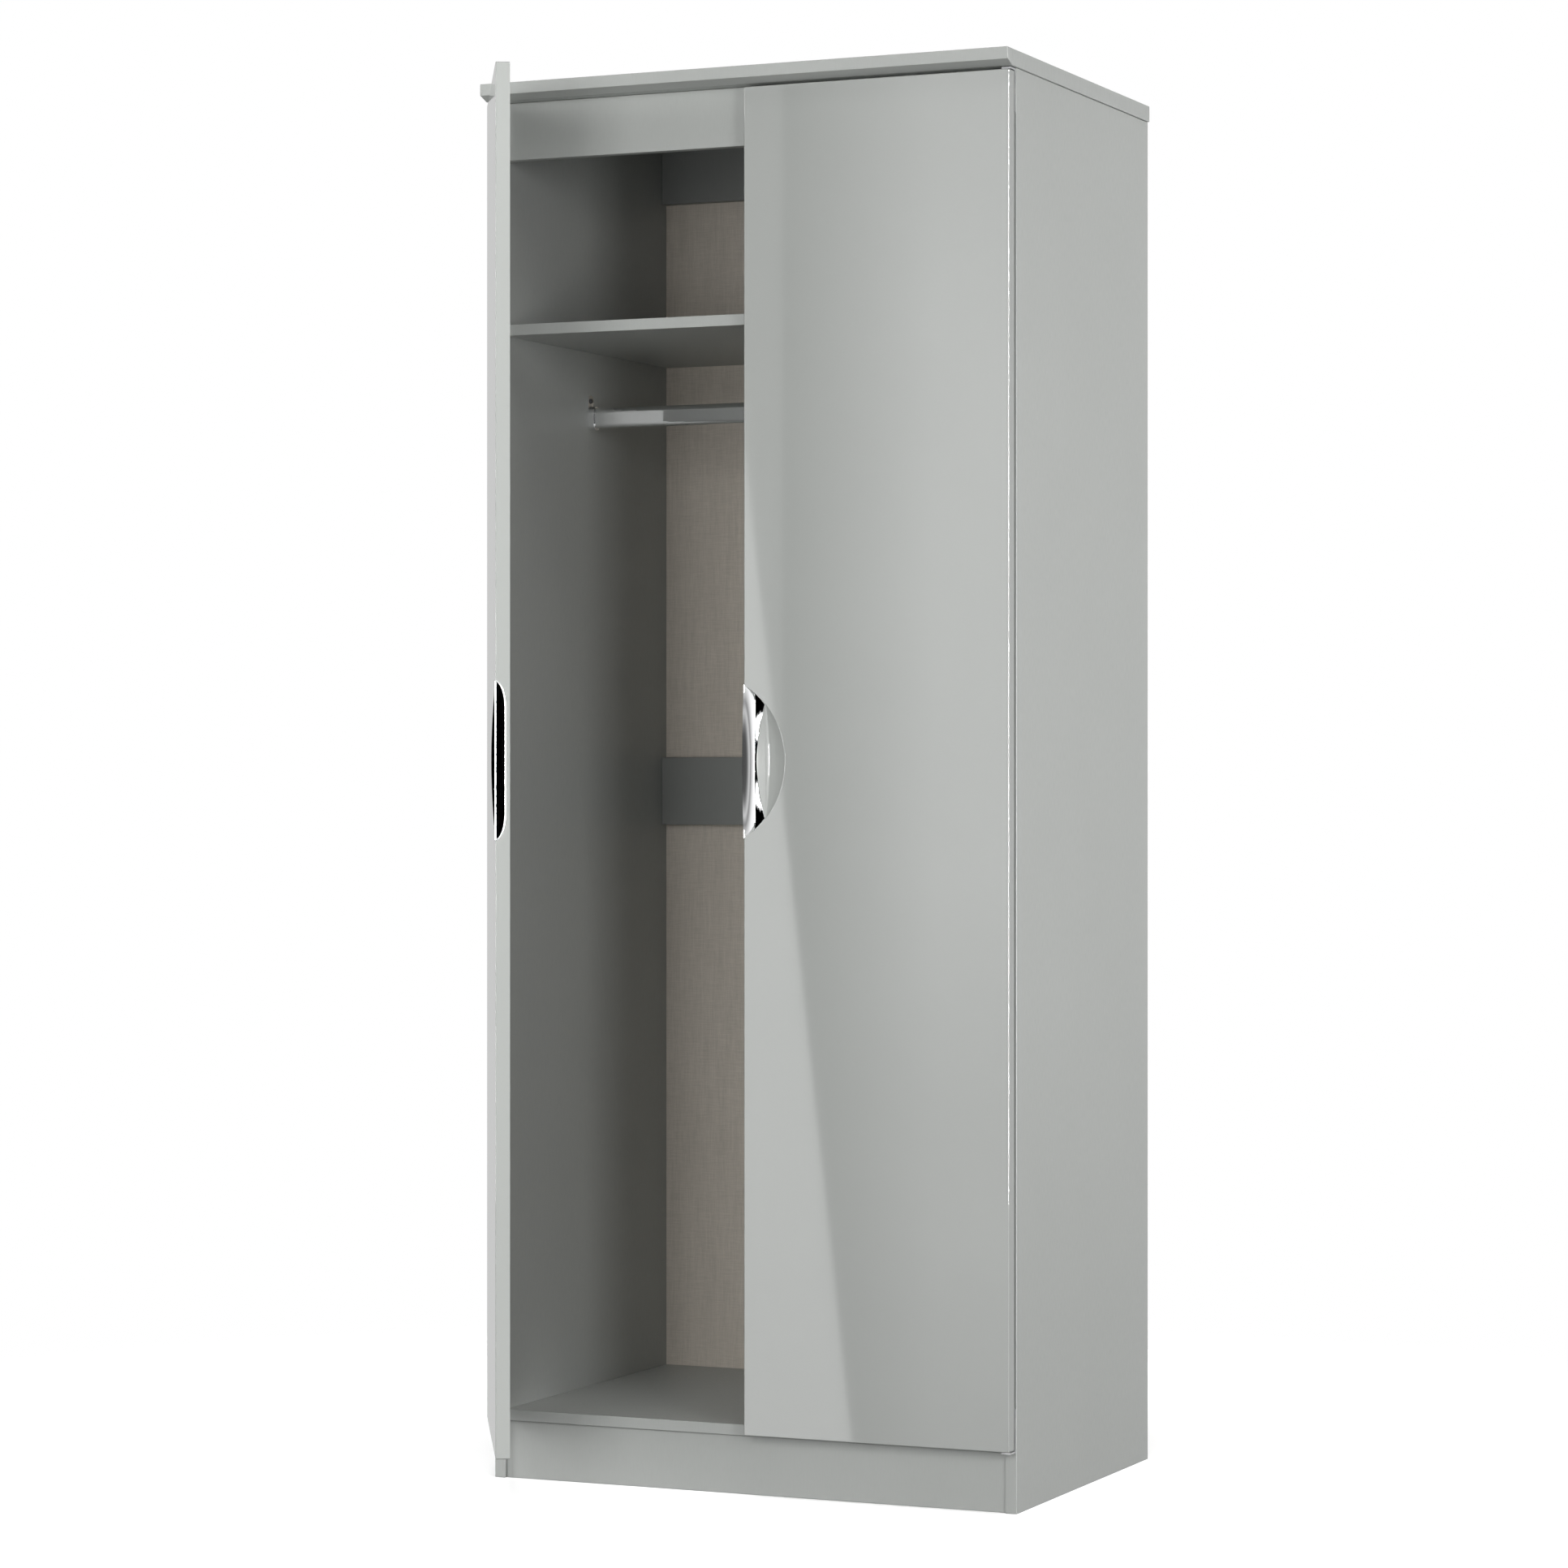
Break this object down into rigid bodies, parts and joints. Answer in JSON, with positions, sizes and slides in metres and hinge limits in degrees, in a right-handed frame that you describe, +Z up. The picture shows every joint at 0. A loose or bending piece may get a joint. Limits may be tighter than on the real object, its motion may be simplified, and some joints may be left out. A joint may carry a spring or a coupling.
{
  "type": "wardrobe",
  "caption": "Tall double wardrobe with flush slab doors on pivot brackets, half-round chrome cup handles, a top shelf and an oval hanging rail.",
  "frame": {"origin": "middle of the bottom of the bounding box at rest, with the left door standing open", "axes": "+Z up, -Y towards the front where the doors are, +X to the viewer's right; metres in the record"},
  "size_m": [0.739, 0.8264, 1.825],
  "materials": {
    "grey_board": "satin",
    "dark_board": "satin",
    "gloss_door": "gloss",
    "linen_board": "matte",
    "rail_chrome": "polished",
    "handle_chrome": "polished",
    "hardware_steel": "satin",
    "bush_nylon": "matte",
    "bumper_rubber": "matte",
    "dowel_beech": "raw"
  },
  "bodies": {
    "carcass": {"left_side_panel": "grey_board", "right_side_panel": "grey_board", "top_panel": "grey_board", "floor_panel": "grey_board", "shelf": "grey_board", "plinth": "grey_board", "fascia": "grey_board", "back_top_rail": "dark_board", "back_brace": "dark_board", "back_panel": "linen_board", "hanging_rail": "rail_chrome", "rail_socket_left": "rail_chrome", "rail_socket_screw_left": "hardware_steel", "rail_socket_right": "rail_chrome", "rail_socket_screw_right": "hardware_steel", "dowel_floor_front_left": "dowel_beech", "dowel_floor_front_right": "dowel_beech", "dowel_floor_back_left": "dowel_beech", "dowel_floor_back_right": "dowel_beech", "dowel_shelf_front_left": "dowel_beech", "dowel_shelf_front_right": "dowel_beech", "dowel_shelf_back_left": "dowel_beech", "dowel_shelf_back_right": "dowel_beech", "dowel_fascia_left": "dowel_beech", "dowel_fascia_right": "dowel_beech", "dowel_back_rail_left": "dowel_beech", "dowel_back_rail_right": "dowel_beech", "dowel_brace_left": "dowel_beech", "dowel_brace_right": "dowel_beech", "dowel_plinth_left": "dowel_beech", "dowel_plinth_right": "dowel_beech", "dowel_top_front_left": "dowel_beech", "dowel_top_front_right": "dowel_beech", "dowel_top_back_left": "dowel_beech", "dowel_top_back_right": "dowel_beech", "pivot_bracket_left_lower": "hardware_steel", "pivot_bracket_left_upper": "hardware_steel", "pivot_bracket_right_lower": "hardware_steel", "pivot_bracket_right_upper": "hardware_steel", "bracket_screw_left_lower": "hardware_steel", "bracket_screw_left_upper": "hardware_steel", "bracket_screw_right_lower": "hardware_steel", "bracket_screw_right_upper": "hardware_steel"},
    "left_door": {"left_door": "gloss_door", "left_handle": "handle_chrome", "pivot_bush_left_lower": "bush_nylon", "pivot_bush_left_upper": "bush_nylon", "door_bumper_left_lower": "bumper_rubber", "door_bumper_left_upper": "bumper_rubber"},
    "right_door": {"right_door": "gloss_door", "right_handle": "handle_chrome", "pivot_bush_right_lower": "bush_nylon", "pivot_bush_right_upper": "bush_nylon", "door_bumper_right_lower": "bumper_rubber", "door_bumper_right_upper": "bumper_rubber"}
  },
  "joints": [
    {"name": "left_door_hinge", "type": "hinge", "parent": "carcass", "child": "left_door", "pos_m": [-0.35947, -0.09481, 0.93975], "axis": [0, 0, -1], "range_deg": [-60.6, 45]},
    {"name": "right_door_hinge", "type": "hinge", "parent": "carcass", "child": "right_door", "pos_m": [0.36053, -0.09481, 0.93975], "axis": [0, 0, 1], "range_deg": [0, 105]}
  ]
}
